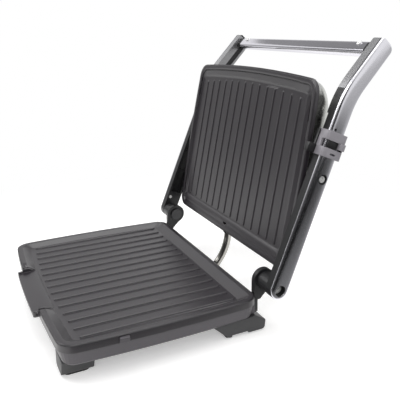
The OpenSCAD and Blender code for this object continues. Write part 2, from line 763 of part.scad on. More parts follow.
// The section swept up the arm: round the hinge, up to the knee, through its
// bend and on to the tip. The bent runs are a hair slimmer than the straight
// ones, which lap over their ends.
module swept_cover() {
  lap = 0.3;
  slim = 0.03;
  rotate([90, 0, -90]) rotate_extrude() polygon(concat([[0, -seam_x]],
    [for (c = crown(slim)) [c[0], -c[1]]], [[half_d - slim, -seam_x]]));
  translate([0, 0, -lap]) linear_extrude(bend_z + 2 * lap)
    polygon([for (c = crown_round(0)) [c[1], c[0]]]);
  translate([0, bend_r, bend_z]) rotate([90, 0, -90]) rotate_extrude(angle = arm_bend)
    polygon([for (c = crown_round(slim)) [bend_r - c[0], -c[1]]]);
  translate([0, 0, arm_lower]) rotate([-arm_bend, 0, 0]) difference() {
    translate([0, 0, arm_upper - bend_on - lap]) linear_extrude(bend_on + lap)
      polygon([for (c = crown_round(0)) [c[1], c[0]]]);
    translate([0, half_d, arm_upper]) tip_corner(9);
    translate([0, -half_d, arm_upper]) mirror([0, 1, 0]) tip_corner(3);
  }
}
// What a rounded corner leaves off the tip
module tip_corner(r) slab(seam_x - 1, arm_out + 1) difference() {
  translate([-r, -r]) square(r + 1);
  translate([0.1 - r, 0.1 - r]) circle(r);
}

module arm_cover(side) color(steel) arm_frame(side) difference() {
  swept_cover();
  slab(seam_x - 1, arm_out - 2.6) arm_side(1.1);
  slab(seam_x - 1, arm_out - cover_t) arm_side(2.2);
  xcyl(hinge_recess_r, 20, arm_out - 10);
  translate([0, pivot_back, pivot_up]) xcyl(pivot_recess_r, 20, arm_out - 10);
  translate([0, 6.1 - half_d, mark_up]) xcyl(1.5, 4, arm_out - 3);
}
module arm_cut(inset) difference() {
  arm_side(inset);
  tip_zone(cap_t);
}
module arm_cover_right() arm_cover(1);
module arm_cover_left() arm_cover(-1);

module arm_core(side) color(black) arm_frame(side) difference() {
  union() {
    // strip that shows between the cover and the arm's inner side
    slab(arm_x + core_in, seam_x) difference() {
      arm_side(0);
      above_knee(knee_up);
    }
    slab(arm_x + core_in, arm_out - 2.7) difference() {
      arm_side(1.2);
      tip_zone(cap_t + 6);
    }
    slab(arm_x + core_in, arm_out - cover_t) difference() {
      arm_side(2.3);
      tip_zone(cap_t + 6);
    }
    slab(arm_x + 1.3, arm_x + core_in + eps) intersection() {
      arm_side(1.3);
      above_knee(knee_up - 1);
      translate([0, arm_lower]) rotate(-arm_bend) translate([-40, -20])
        square([80, arm_upper + 20 - cap_t - 6]);
    }
    // full-width block round the knee
    slab(arm_x, arm_x + core_in + eps) difference() {
      arm_side(0);
      above_knee(knee_up);
      upright(-60, bracket_z);
    }
    translate([0, pivot_back, pivot_up]) xcyl(7.4, core_in + eps, arm_x);
  }
  // moulded pockets on the inner side
  slab(arm_x - 1, arm_x + 10.5) difference() {
    intersection() {
      arm_side(2.8);
      upright(28, bracket_z - 3);
    }
    translate([pivot_back, pivot_up]) circle(7.4);
    for (z = [28 + pocket_pitch:pocket_pitch:bracket_z - 20]) upright(z, z + 2);
  }
  xcyl(pin_r + run_gap, 40, arm_x - 10);
  xcyl(hinge_recess_r, 20, arm_out - hinge_recess);
  translate([0, pivot_back, pivot_up]) {
    xcyl(pivot_r + run_gap, 40, arm_x - 10);
    xcyl(pivot_recess_r, 20, arm_out - pivot_recess);
  }
  for (p = screw_spots) translate([0, p[0], p[1]]) xcyl(1.45, 7, arm_x - 1);
}
module arm_core_right() arm_core(1);
module arm_core_left() arm_core(-1);

// Metal channel that wraps the inner side of the upper arm
module arm_channel(side) color(grey) arm_frame(side) difference() {
  slab(arm_x, seam_x - seam_w) intersection() {
    arm_cut(0);
    above_knee(knee_up);
  }
  slab(arm_x + 1.2, arm_out) arm_side(1.2);
  slab(arm_x - 1, arm_x + 3) translate([0, arm_lower]) rotate(-arm_bend)
    translate([-0.2, knee_up + 8]) square([7.2, arm_upper - knee_up - 16]);
}
module arm_channel_right() arm_channel(1);
module arm_channel_left() arm_channel(-1);

module arm_end_caps() color(black) arm_frame() both() {
  slab(arm_x, seam_x - 0.1) intersection() {
    arm_side(0);
    tip_zone(cap_t);
  }
  slab(arm_x + 1.4, arm_out - 2.7) intersection() {
    arm_side(1.3);
    tip_zone(cap_t + 5.8);
  }
}

screw_spots = [[-6.5, 19.3], [-2, bracket_z + 5.6]];
module arm_screws() color(steel) arm_frame() both() for (i = [0, 1])
  translate([0, screw_spots[i][0], screw_spots[i][1]]) {
    x = i == 0 ? arm_x + core_in : arm_x;
    difference() {
      xcyl(2.3, 1.1, x - 1.1);
      translate([x - 1.1, 0, 0]) rotate([0, 90, 0]) cross(3, -0.1, 0.7);
    }
    xcyl(1.4, 5.1 + arm_x - x, x - 0.1);
  }

// ---- handle ----

module bar_frame() knee_frame() translate([0, -bar_fore, bar_up]) children();
module bar_slab(x0, x1) translate([x0, 0, 0]) rotate([90, 0, 90])
  linear_extrude(x1 - x0) children();

module crossbar() color(steel) bar_frame() difference() {
  bar_slab(-bar_x, bar_x) round_rect(bar_d, bar_h, bar_r);
  bar_slab(-bar_x - 1, bar_x + 1)
    round_rect(bar_d - 2 * bar_t, bar_h - 2 * bar_t, bar_r - bar_t);
  both() translate([bar_screw_x, 0, bar_screw_up]) rotate([90, 0, 0])
    cylinder(r = 1.6, h = bar_d);
}

module crossbar_bosses() color(black) bar_frame() both() difference() {
  union() {
    bar_slab(bar_x, arm_x) round_rect(bar_d - 0.8, bar_h - 1.6, bar_r - 0.6);
    bar_slab(bar_x - 20, bar_x + 0.1)
      round_rect(bar_d - 2 * bar_t - 0.2, bar_h - 2 * bar_t - 0.2, bar_r - bar_t - 0.1);
  }
  translate([bar_screw_x, 0, bar_screw_up]) rotate([90, 0, 0]) cylinder(r = 1.45, h = bar_d);
}

module crossbar_screws() color(steel) bar_frame() both()
  translate([bar_screw_x, -bar_d / 2, bar_screw_up]) rotate([90, 0, 0]) difference() {
    union() {
      cylinder(r = 3.1, h = 1.3);
      translate([0, 0, -5.8]) cylinder(r = 1.4, h = 6);
    }
    cross(4, 0.6, 1);
  }

// ---- upper plate cover and pivots ----

// Set-back of the dome at a depth behind the rim, a quarter of an ellipse
function dome_in(b) = let (t = max(0, (b - 12) / (dome_d - 12)))
  1.2 + 1.5 * min(1, b / 12) + dome_round * (1 - sqrt(max(0, 1 - pow(t, 1.3))));
module dome(grow, top) hull() {
  layer(-top, 0.1, dome_in(top) - grow, dome_r(top) + grow);
  for (f = [0.26, 0.35, 0.45, 0.56, 0.68, 0.8, 0.9, 0.97, 1]) let (b = f * dome_d)
    layer(-(b + grow), 0.1, dome_in(b) - grow, dome_r(b) + grow);
}
function dome_r(b) = plate_r + 0.9 * dome_in(b);

gland_r = conduit_r + 1.1 + gland_wall;
pivot_boss_r = 7.1;
gland_back = 8;
module lid_gland_at() translate([0, 0, -gland_back]) rotate([-90, 0, 0]) children();

module lid_cover() color(steel) lid_frame() difference() {
  dome(0, upper_skirt - 0.4);
  dome(-dome_t, upper_skirt - 2);
  layer(-upper_skirt - eps, upper_skirt + 2, -4);
  both() translate([0, -pivot_u, -pivot_in]) xcyl(pivot_boss_r + 0.2, 30, bracket_x - 11);
  lid_gland_at() translate([0, 0, -8]) cylinder(r = gland_r + 0.1, h = 16);
  posts() translate([0, 0, -dome_d - 1]) cylinder(r = 2.3, h = 10);
}

module lid_screws() color(steel) lid_frame() posts() difference() {
  union() {
    translate([0, 0, -dome_at - 1.8]) cylinder(r = 3.6, h = 2);
    translate([0, 0, -dome_at]) cylinder(r = 2, h = dome_at + boss_top + 5);
  }
  cross(4.4, -dome_at - 1.9, 1.2);
}
dome_at = dome_d - 0.1;

module pivot_brackets() color(steel) lid_frame() both() translate([0, -pivot_u, -pivot_in])
  difference() {
    union() {
      xcyl(pivot_boss_r, arm_x - pass_gap - bracket_x - 2, bracket_x + 2);
      translate([bracket_x, -bracket_w / 2, -3.5])
        cube([2.6, bracket_w, pivot_in + lid_floor + 3.5]);
      translate([bracket_x - 15, -bracket_w / 2, pivot_in + lid_floor - 1.6])
        cube([16, bracket_w, 1.6]);
    }
    xcyl(pivot_r, 60, bracket_x - 36);
    xcyl(4.8, 5.2, bracket_x - 5.2);
  }

module pivot_screws() color(steel) lid_frame() both() translate([0, -pivot_u, -pivot_in])
  difference() {
    union() {
      xcyl(pivot_r, arm_out - pivot_recess + pass_gap - bracket_x + 4, bracket_x - 4);
      xcyl(3.6, 2.4, arm_out - pivot_recess + pass_gap);
      xcyl(4.2, 1.6, bracket_x - 3);
    }
    translate([arm_out - pivot_recess + pass_gap + 2.4, 0, 0]) rotate([0, -90, 0])
      cross(4.6, -0.1, 1.3);
  }

module lid_gland() color(black) lid_frame() lid_gland_at() difference() {
  union() {
    translate([0, 0, -5]) cylinder(r = gland_r, h = 5.6);
    translate([0, 0, 0.5]) cylinder(r1 = gland_r, r2 = gland_r - 0.7, h = 1.6);
  }
  translate([0, 0, -6]) cylinder(r = conduit_r + 1.1, h = 12);
}

// ---- clip ----

module lid_clip() color(grey) arm_frame() translate([0, 0, clip_z]) {
  difference() {
    linear_extrude(clip_len) clip_plan();
    // rear leg stops short
    translate([clip_in - 1, half_d - 1, -1]) cube([6, 10, clip_len + 2]);
    // window between the bands
    translate([arm_out - 5, -half_d - 9, clip_band])
      cube([20, arm_d + 9.1, clip_len - 2 * clip_band]);
    translate([arm_out - 1, -3, 3.4]) cube([12, 7, 2]);
  }
  // thumb tab, hung from the upper band
  translate([0, half_d - 6, clip_band + 1.6]) linear_extrude(clip_len - 2 * clip_band - 1.2)
    translate([arm_out + clip_gap + (clip_t + tab_out) / 2, 3.8])
    round_rect(clip_t + tab_out, 7.6, 1.2);
}
clip_in = arm_x + 1.2;
// Plan of the clip: a round-cornered strap, open towards the plates
module clip_plan() {
  out = arm_out + clip_gap;
  wide = arm_d + 2 * clip_gap;
  difference() {
    translate([out + clip_t - 24, 0]) round_rect(48, wide + 2 * clip_t, clip_r);
    translate([out - 24, 0]) round_rect(48, wide, 1);
    translate([out - 60, -30]) square([60 + clip_in - out, 60]);
  }
}

// Dark slide in the clip's window
module clip_button() color(black) arm_frame() translate([arm_out + clip_gap, -half_d + 1,
  clip_z + clip_band + 0.1]) cube([clip_t - 1.4, arm_d - 7.1, clip_len - 2 * clip_band - 0.2]);

// Leg and nose that catch the lug on the base
module clip_hook() color(black) arm_frame() translate([0, 0, clip_z]) {
  y0 = -half_d - clip_gap - clip_t;
  tip = -half_d - hook_out;
  translate([clip_in + 1.8, tip, 0]) cube([3, y0 - tip, clip_band]);
  translate([arm_x + 0.3, tip, 0]) cube([5.7, nose_t, clip_band]);
  // backing strip up the front of the clip
  translate([arm_x + 0.3, y0 - 1.8, 0]) cube([4.5, 1.8, clip_len - 1]);
}

// ---- wiring ----

// The two bends meet the gland in the lid: their radii follow from its place
lid_out = pivot_in - gland_back;
gland_y = hinge_y + pivot_up * sin(arm_lean) + pivot_back * cos(arm_lean)
  - pivot_u * sin(lid_lean) - lid_out * cos(lid_lean);
gland_z = hinge_z + pivot_up * cos(arm_lean) - pivot_back * sin(arm_lean)
  - pivot_u * cos(lid_lean) + lid_out * sin(lid_lean);
run_y = gland_y + 0.2 - conduit_y - conduit_mid * cos(conduit_turn);
run_z = gland_z + 2.2 + conduit_z - conduit_mid * sin(conduit_turn);
turn_y = 1 - sin(conduit_turn);
turn_z = 1 - cos(conduit_turn);
conduit_low = (run_y * cos(conduit_turn) - run_z * turn_y) / (1 - turn_y - turn_z);
conduit_high = (run_z * sin(conduit_turn) - run_y * turn_z) / (1 - turn_y - turn_z);

// Two bends, each drawn a hair slimmer than the straight runs that cap its ends
module conduit() color(steel) base_frame() {
  y1 = conduit_y + conduit_low * sin(conduit_turn);
  z1 = -conduit_z + conduit_low * (1 - cos(conduit_turn));
  y2 = y1 + conduit_mid * cos(conduit_turn);
  z2 = z1 + conduit_mid * sin(conduit_turn);
  tube_run(-14, -conduit_z, 0, 14 + conduit_y);
  tube_bend(conduit_y, -conduit_z + conduit_low, conduit_low, -90, conduit_turn);
  tube_run(y1, z1, conduit_turn, conduit_mid);
  tube_bend(y2 - conduit_high * sin(conduit_turn), z2 + conduit_high * cos(conduit_turn),
    conduit_high, conduit_turn - 90, 90 - conduit_turn);
  tube_run(y2 + conduit_high * (1 - sin(conduit_turn)), z2 + conduit_high * cos(conduit_turn),
    90, 4);
}
module tube_run(y, z, rise, h) translate([0, y, z]) rotate([rise - 90, 0, 0])
  translate([0, 0, -0.3]) cylinder(r = conduit_r, h = h + 0.6);
module tube_bend(y, z, r, a0, turn) translate([0, y, z]) rotate([90, 0, 90])
  rotate([0, 0, a0]) rotate_extrude(angle = turn) translate([r, 0]) circle(conduit_r - 0.04);

module conduit_gland() color(black) base_frame() translate([0, -0.6, -conduit_z])
  rotate([-90, 0, 0]) difference() {
    union() {
      cylinder(r = 7.6, h = 2.6);
      translate([0, 0, -2.6]) cylinder(r = conduit_r + 1.5, h = 3);
    }
    translate([0, 0, -4]) cylinder(r = conduit_r + 0.05, h = 10);
  }

module cord_at() translate([-cord_x, -2.6, band_low + 8.5]) children();
module cord_gland() color(black) base_frame() cord_at() rotate([-90, 0, 0]) difference() {
  union() {
    translate([0, 0, -6]) cylinder(r = cord_r + 1.8, h = 8);
    translate([0, 0, 1.4]) cylinder(r = cord_r + 3.8, h = 3);
  }
  translate([0, 0, -7]) cylinder(r = cord_r, h = 14);
}

base_housing();
bottom_cover();
bottom_screws();
lower_plate();
plate_screws();
lower_heater();
lower_reflector();
lower_thermostat();
front_feet();
rear_feet();
foot_pads();
hinge_bracket_right();
hinge_bracket_left();
bracket_screws();
hinge_pins();
hinge_washers();
hinge_screws();
latch_lug();
cord_gland();
conduit_gland();
conduit();
arm_cover_right();
arm_cover_left();
arm_core_right();
arm_core_left();
arm_channel_right();
arm_channel_left();
arm_end_caps();
hinge_barrels();
crossbar();
crossbar_bosses();
crossbar_screws();
arm_screws();
upper_plate();
lid_cover();
lid_screws();
upper_heater();
upper_reflector();
upper_thermostat();
pivot_brackets();
pivot_screws();
lid_gland();
lid_clip();
clip_button();
clip_hook();
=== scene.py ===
import json
import math

import bmesh
import bpy
from mathutils import Matrix, Vector

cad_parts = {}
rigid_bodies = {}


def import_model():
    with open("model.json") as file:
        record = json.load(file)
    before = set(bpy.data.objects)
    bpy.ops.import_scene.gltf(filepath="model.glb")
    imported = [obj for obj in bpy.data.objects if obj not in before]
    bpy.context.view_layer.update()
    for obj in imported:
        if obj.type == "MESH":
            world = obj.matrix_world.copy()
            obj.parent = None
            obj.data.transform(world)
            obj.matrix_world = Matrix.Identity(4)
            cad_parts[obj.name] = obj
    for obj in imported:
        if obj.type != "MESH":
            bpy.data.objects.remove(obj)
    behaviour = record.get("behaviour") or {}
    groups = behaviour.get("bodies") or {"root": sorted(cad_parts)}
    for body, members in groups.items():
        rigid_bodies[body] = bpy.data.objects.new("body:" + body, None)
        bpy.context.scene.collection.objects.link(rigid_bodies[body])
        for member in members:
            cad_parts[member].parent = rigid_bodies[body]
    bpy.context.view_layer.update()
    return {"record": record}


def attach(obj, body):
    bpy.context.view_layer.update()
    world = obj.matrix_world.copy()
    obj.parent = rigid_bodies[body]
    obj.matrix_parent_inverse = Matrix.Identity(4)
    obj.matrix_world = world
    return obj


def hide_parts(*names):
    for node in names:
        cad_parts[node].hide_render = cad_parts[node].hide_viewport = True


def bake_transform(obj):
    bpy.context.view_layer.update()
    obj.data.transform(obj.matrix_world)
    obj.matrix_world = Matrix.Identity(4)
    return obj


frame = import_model()
MM = 0.001

# ---- sizes of the grill, in millimetres ----

PLATE_W, PLATE_D, PLATE_R = 288.0, 211.5, 15.0
FRONT_BOW, SIDE_BOW = 5.5, 3.7
MID_X, MID_Y, RIM_Z = -2.825, 36.6388, 44.0
HINGE_Y, HINGE_Z = 13.2, 13.5
ARM_LEAN, ARM_BEND = math.radians(22.32), math.radians(20.18)
ARM_X, ARM_W, ARM_D = 149.0, 16.2, 20.9
ARM_LOWER, ARM_UPPER, BEND_R = 219.4, 72.1, 100.0
CROWN_D, CROWN_POWER, COVER_T = 3.6, 3.2, 1.0
ARM_OUT, SEAM_X = ARM_X + ARM_W, ARM_X + ARM_W - 4
HINGE_RECESS_R, PIVOT_RECESS_R, MARK_UP = 6.2, 5.6, 180.0
PIVOT_UP, PIVOT_BACK, PIVOT_U, PIVOT_IN = 126.37, 2.5, 109.2, 15.1
LID_LEAN = math.radians(10.82)
WELL_D, RIB_PITCH, RIB_SLIM = 7.2, 18.05, 0.62
UPPER_SKIRT, DOME_D, DOME_ROUND, DOME_T = 5.0, 42.5, 40.0, 0.5
CONDUIT_R, CONDUIT_Z, CONDUIT_Y, CONDUIT_MID = 4.8, 27.0, 1.6, 4.0
CONDUIT_TURN = math.radians(50)
CONDUIT_HALF, TUBE_SIDES = 31, 40
GLAND_BACK = 8.0
TIP_ROUND, TIP_BACK_R, TIP_FRONT_R = 0.8, 9.0, 3.0
DOME_WALL, DOME_WALL_IN, DOME_DRAFT, DOME_POWER = 12.0, 1.2, 1.5, 1.8
# the well's brink, its ribs and the flat between them, from the middle and the back edge
BRINK_X, BRINK_FRONT, BRINK_BACK = 138.5, -206, -5.9
RIB_X, FLOOR_X, RIB_FRONT, RIB_BACK = 131.5, 127.5, -199.8, -20.5
SPOUT_X, SPOUT_LOW, SPOUT_HIGH = 60, -2.6, -1.2
WALL_IN_X, WALL_IN_BACK, WALL_IN_FRONT = 4.0, 8.5, 5.5
CAST_ROUND = 3.0
# least distance between two points of a mesh, in metres
WELD, NODE_WELD = 0.000004, 0.00001
# edges sharper than this are rounded on a copy of a node, in degrees
HARD_EDGE = 28.0
# the camera: azimuth, elevation and roll, focal length and frame width in pixels
VIEW_TURN, VIEW_FOCAL, VIEW_FRAME, VIEW_SENSOR = (61.848, 13.145, 0.025), 561.79, 400, 36.0
VIEW_SHIFT, VIEW_AT = (-0.0890, -0.0993), (625.76, -287.41, 284.25)


# ---- shader helpers ----

class Value:
    """A shader socket that takes part in Python arithmetic."""

    def __init__(self, look, socket):
        self.look, self.socket = look, socket

    def _math(self, operation, a, b):
        return self.look.node("ShaderNodeMath", {"operation": operation}, {0: a, 1: b})[0]

    def __add__(self, o): return self._math("ADD", self, o)
    def __radd__(self, o): return self._math("ADD", o, self)
    def __sub__(self, o): return self._math("SUBTRACT", self, o)
    def __rsub__(self, o): return self._math("SUBTRACT", o, self)
    def __mul__(self, o): return self._math("MULTIPLY", self, o)
    def __rmul__(self, o): return self._math("MULTIPLY", o, self)
    def most(self, o): return self._math("MAXIMUM", self, o)


class Look:
    """A material with one Principled surface, built node by node."""

    def __init__(self, name, **constants):
        self.material = bpy.data.materials.new(name)
        self.material.use_nodes = True
        self.tree = self.material.node_tree
        self.shader = self.tree.nodes["Principled BSDF"]
        self.output = self.tree.nodes["Material Output"]
        for socket, value in constants.items():
            self.set(socket.replace("_", " ").title().replace("Ior", "IOR"), value)

    def node(self, kind, settings=None, inputs=None):
        made = self.tree.nodes.new(kind)
        for key, value in (settings or {}).items():
            if key == "stops":
                ramp = made.color_ramp
                while len(ramp.elements) < len(value):
                    ramp.elements.new(0.5)
                for element, (place, colour) in zip(ramp.elements, value):
                    element.position = place
                    element.color = (*colour, 1) if len(colour) == 3 else colour
            else:
                setattr(made, key, value)
        for key, value in (inputs or {}).items():
            self.plug(value, made.inputs[key])
        return [Value(self, s) for s in made.outputs]

    def plug(self, value, socket):
        if isinstance(value, Value):
            self.tree.links.new(value.socket, socket)
        elif isinstance(value, (tuple, list)) and len(value) == 3 and socket.type == "RGBA":
            socket.default_value = (*value, 1)
        else:
            socket.default_value = value

    def set(self, name, value):
        self.plug(value, self.shader.inputs[name])
        return self

    def place(self, scale=(1, 1, 1), turn=(0, 0, 0)):
        """The object's own coordinates, in metres, turned and scaled."""
        at = self.node("ShaderNodeTexCoord")[3]
        return self.node("ShaderNodeMapping", {}, {0: at, 2: turn, 3: scale})[0]

    def noise(self, scale, detail=2.0, rough=0.5, at=None):
        return self.node("ShaderNodeTexNoise", {}, {
            "Vector": at or self.place(), "Scale": scale, "Detail": detail,
            "Roughness": rough})[0]

    def between(self, factor, a, b):
        """Colour a where factor is 0, colour b where it is 1."""
        return self.node("ShaderNodeMix", {"data_type": "RGBA"}, {0: factor, 6: a, 7: b})[2]

    def step(self, value, low, high, a=0.0, b=1.0):
        return self.node("ShaderNodeMapRange", {"interpolation_type": "SMOOTHSTEP"},
                         {0: value, 1: low, 2: high, 3: a, 4: b})[0]

    def relief(self, height, distance, strength=1.0, edge=0.0004):
        """Surface relief over edges that are rounded by the given radius."""
        sockets = {"Height": height, "Distance": distance, "Strength": strength}
        if edge:
            sockets["Normal"] = self.node("ShaderNodeBevel", {"samples": 6}, {"Radius": edge})[0]
        self.set("Normal", self.node("ShaderNodeBump", {}, sockets)[0])
        return self


def shade(c, k):
    """A colour made darker or paler by a factor."""
    return tuple(v * k for v in c)


def nonstick():
    """Dark sprayed coating: fine orange peel and a few paler flecks."""
    look = Look("nonstick coating", specular_ior_level=0.8)
    peel = look.noise(900.0, 2.0, 0.55)
    cloud = look.noise(22.0, 3.0, 0.55)
    flecks = look.step(look.noise(2400.0, 1.0, 0.4), 0.66, 0.74)
    tone = look.between(cloud, (0.0165, 0.0135, 0.0175), (0.021, 0.0178, 0.0222))
    look.set("Base Color", look.between(flecks * 0.4, tone, (0.06, 0.056, 0.062)))
    look.set("Roughness", 0.27 + 0.08 * cloud + 0.05 * peel)
    return look.relief(peel, 0.00003, 0.4, 0.0012).material


def grained_plastic(name, colour, rough, grain=1400.0, depth=0.00005):
    """Moulded plastic: fine pores, with wear that shifts tone and sheen."""
    look = Look(name, specular_ior_level=0.45)
    pores = look.noise(grain, 2.0, 0.6)
    wear = look.noise(16.0, 4.0, 0.6)
    look.set("Base Color", look.between(wear, shade(colour, 0.88), shade(colour, 1.12)))
    look.set("Roughness", rough - 0.05 + 0.1 * wear + 0.04 * pores)
    return look.relief(pores, depth, 0.5).material


def drawn_metal(name, colour, rough, along, streak=0.10):
    """Metal with grinding lines along one of the object's axes."""
    look = Look(name, metallic=1.0)
    stretch = [1.0 if i == along else 60.0 for i in range(3)]
    lines = look.noise(14.0, 3.0, 0.6, look.place(tuple(stretch)))
    haze = look.noise(9.0, 3.0, 0.5)
    dark, pale = shade(colour, 1 - streak), shade(colour, 1 + streak * 0.4)
    look.set("Base Color", look.between(lines, dark, pale))
    look.set("Roughness", rough + 0.10 * lines + 0.06 * haze - 0.08)
    return look.relief(lines, 0.00001, 0.15, 0.0).material


def satin_chrome(name, colour, rough):
    """Plated cover: near-mirror with a faint cloud and rubbed patches."""
    look = Look(name, metallic=1.0)
    haze = look.noise(12.0, 3.0, 0.55)
    rub = look.step(look.noise(70.0, 3.0, 0.65, look.place((2, 1, 1))), 0.55, 0.78)
    look.set("Base Color", look.between(haze, shade(colour, 0.95), colour))
    look.set("Roughness", rough + 0.05 * haze + 0.05 * rub)
    return look.material


def polished(name, colour, rough=0.08):
    """Polished or plated metal with haze and a few fine scuffs."""
    look = Look(name, metallic=1.0)
    haze = look.noise(30.0, 3.0, 0.55)
    scuffs = look.step(look.noise(260.0, 2.0, 0.7, look.place((1, 4, 1))), 0.6, 0.75)
    look.set("Base Color", look.between(haze, shade(colour, 0.96), colour))
    look.set("Roughness", rough + 0.05 * haze + 0.05 * scuffs)
    return look.material


LOOKS = {
    "grill_plate": nonstick(),
    "housing_plastic": grained_plastic("housing plastic", (0.072, 0.067, 0.075), 0.40),
    "black_sheet": grained_plastic("black sheet", (0.035, 0.035, 0.036), 0.5, 700.0),
    "foot_plastic": grained_plastic("foot plastic", (0.045, 0.045, 0.047), 0.42),
    "pad_rubber": grained_plastic("pad rubber", (0.02, 0.02, 0.02), 0.8, 900.0),
    "black_plastic": grained_plastic("black plastic", (0.012, 0.012, 0.013), 0.34, 1700.0),
    "clip_plastic": grained_plastic("clip plastic", (0.23, 0.22, 0.24), 0.33, 1500.0, 0.00002),
    "arm_metal": satin_chrome("arm chrome", (0.76, 0.755, 0.80), 0.13),
    "channel_metal": satin_chrome("channel metal", (0.42, 0.42, 0.43), 0.34),
    "dome_steel": drawn_metal("dome steel", (0.56, 0.565, 0.54), 0.26, 0, 0.06),
    "element_steel": drawn_metal("element sheath", (0.30, 0.29, 0.28), 0.5, 0),
    "tin_sheet": drawn_metal("tin sheet", (0.72, 0.72, 0.73), 0.3, 0),
    "bar_chrome": polished("bar chrome", (0.72, 0.71, 0.76), 0.07),
    "polished_steel": polished("conduit steel", (0.46, 0.45, 0.42), 0.12),
    "screw_steel": polished("screw steel", (0.93, 0.93, 0.92), 0.5),
    "blackened_steel": polished("blackened steel", (0.07, 0.07, 0.072), 0.30),
    "thermostat_ceramic": grained_plastic("thermostat ceramic", (0.55, 0.52, 0.46), 0.6, 500.0),
}

for part in frame["record"]["subparts"]:
    node = bpy.data.objects[part["node"]]
    for held in node.material_slots:
        held.material = LOOKS[part["material_slot"]]
for held in bpy.data.objects["hinge_pins"].material_slots:
    held.material = LOOKS["blackened_steel"]


# ---- places on the grill ----

def base_point(x, y, z):
    """From the lower plate's layout, hung from its back edge at the rim."""
    return Vector((x + MID_X, y + MID_Y, z + RIM_Z)) * MM


def turned(y, z, angle):
    """A side-view point turned towards the back by an angle."""
    return y * math.cos(angle) + z * math.sin(angle), z * math.cos(angle) - y * math.sin(angle)


def arm_point(x, y, z, side=1):
    """From an arm's layout: hinge axis at the origin, Z up the arm, Y to its back."""
    y, z = turned(y, z, ARM_LEAN)
    return base_point(side * x, y + HINGE_Y, z + HINGE_Z)


def lid_point(x, y, z):
    """From the upper plate's layout: the lower plate's, turned over and leant back."""
    py, pz = turned(PIVOT_BACK, PIVOT_UP, ARM_LEAN)
    up, out = -y - PIVOT_U, -z - PIVOT_IN
    s, c = math.sin(LID_LEAN), math.cos(LID_LEAN)
    return base_point(-x, py + HINGE_Y + up * s + out * c, pz + HINGE_Z + up * c - out * s)


def base_local(point):
    """A world point in the lower plate's layout, in millimetres."""
    return point.x / MM - MID_X, point.y / MM - MID_Y, point.z / MM - RIM_Z


def lid_local(point):
    """A world point in the upper plate's layout, in millimetres."""
    x, y, z = base_local(point)
    py, pz = turned(PIVOT_BACK, PIVOT_UP, ARM_LEAN)
    y, z = y - py - HINGE_Y, z - pz - HINGE_Z
    s, c = math.sin(LID_LEAN), math.cos(LID_LEAN)
    return -x, -(y * s + z * c) - PIVOT_U, -(y * c - z * s) - PIVOT_IN


# ---- mesh helpers ----

def grid(mesh, rows):
    """Quads between rows of points; every row has the same number of points."""
    held = [[mesh.verts.new(p) for p in row] for row in rows]
    for a, b in zip(held, held[1:]):
        for i in range(len(a) - 1):
            mesh.faces.new((a[i], a[i + 1], b[i + 1], b[i]))
    return held


def rounded_copy(node, slot, body, width):
    """A CAD node's shape with its hard edges rounded by a small bevel."""
    mesh = bmesh.new()
    mesh.from_mesh(bpy.data.objects[node].data)
    bmesh.ops.remove_doubles(mesh, verts=mesh.verts, dist=NODE_WELD)
    bmesh.ops.dissolve_limit(mesh, angle_limit=math.radians(0.6), verts=mesh.verts,
                             edges=mesh.edges)
    made = piece(node + "_rounded", mesh, slot, body, (node,), HARD_EDGE)
    round_over = made.modifiers.new("round over", "BEVEL")
    round_over.width, round_over.segments = width * MM, 3
    round_over.limit_method, round_over.angle_limit = "ANGLE", math.radians(HARD_EDGE)
    settle(made)
    made.data.shade_smooth()
    made.data.set_sharp_from_angle(angle=math.radians(40))
    return made


def piece(name, mesh, slot, body, stands_for=(), crease=32.0, thick=0.0):
    """A finished object: welded, with outward faces, that rides on a body."""
    bmesh.ops.remove_doubles(mesh, verts=mesh.verts, dist=WELD)
    bmesh.ops.dissolve_degenerate(mesh, edges=mesh.edges, dist=0.000003)
    bmesh.ops.recalc_face_normals(mesh, faces=mesh.faces)
    data = bpy.data.meshes.new(name)
    mesh.to_mesh(data)
    mesh.free()
    made = bpy.data.objects.new(name, data)
    bpy.context.scene.collection.objects.link(made)
    if thick:
        wall = made.modifiers.new("wall", "SOLIDIFY")
        wall.thickness, wall.offset = thick * MM, -1.0
        settle(made)
    data = made.data
    data.materials.append(LOOKS[slot])
    data.shade_smooth()
    data.set_sharp_from_angle(angle=math.radians(crease))
    if body:
        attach(made, body)
    if stands_for:
        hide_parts(*stands_for)
    return made


def settle(made):
    """Applies an object's modifiers to its mesh."""
    shown = made.evaluated_get(bpy.context.evaluated_depsgraph_get())
    data = bpy.data.meshes.new_from_object(shown)
    made.modifiers.clear()
    made.data = data


# ---- arms ----

def crown_section(steps=22):
    """Distance from the arm's middle and outward place, from the crest to the edge."""
    section = []
    for i in range(steps + 1):
        turn = math.pi / 2 * i / steps
        section.append((ARM_D / 2 * math.sin(turn) ** (2 / CROWN_POWER),
                        ARM_OUT - CROWN_D
                        + CROWN_D * max(0.0, math.cos(turn)) ** (2 / CROWN_POWER)))
    return section + [(ARM_D / 2, SEAM_X)]


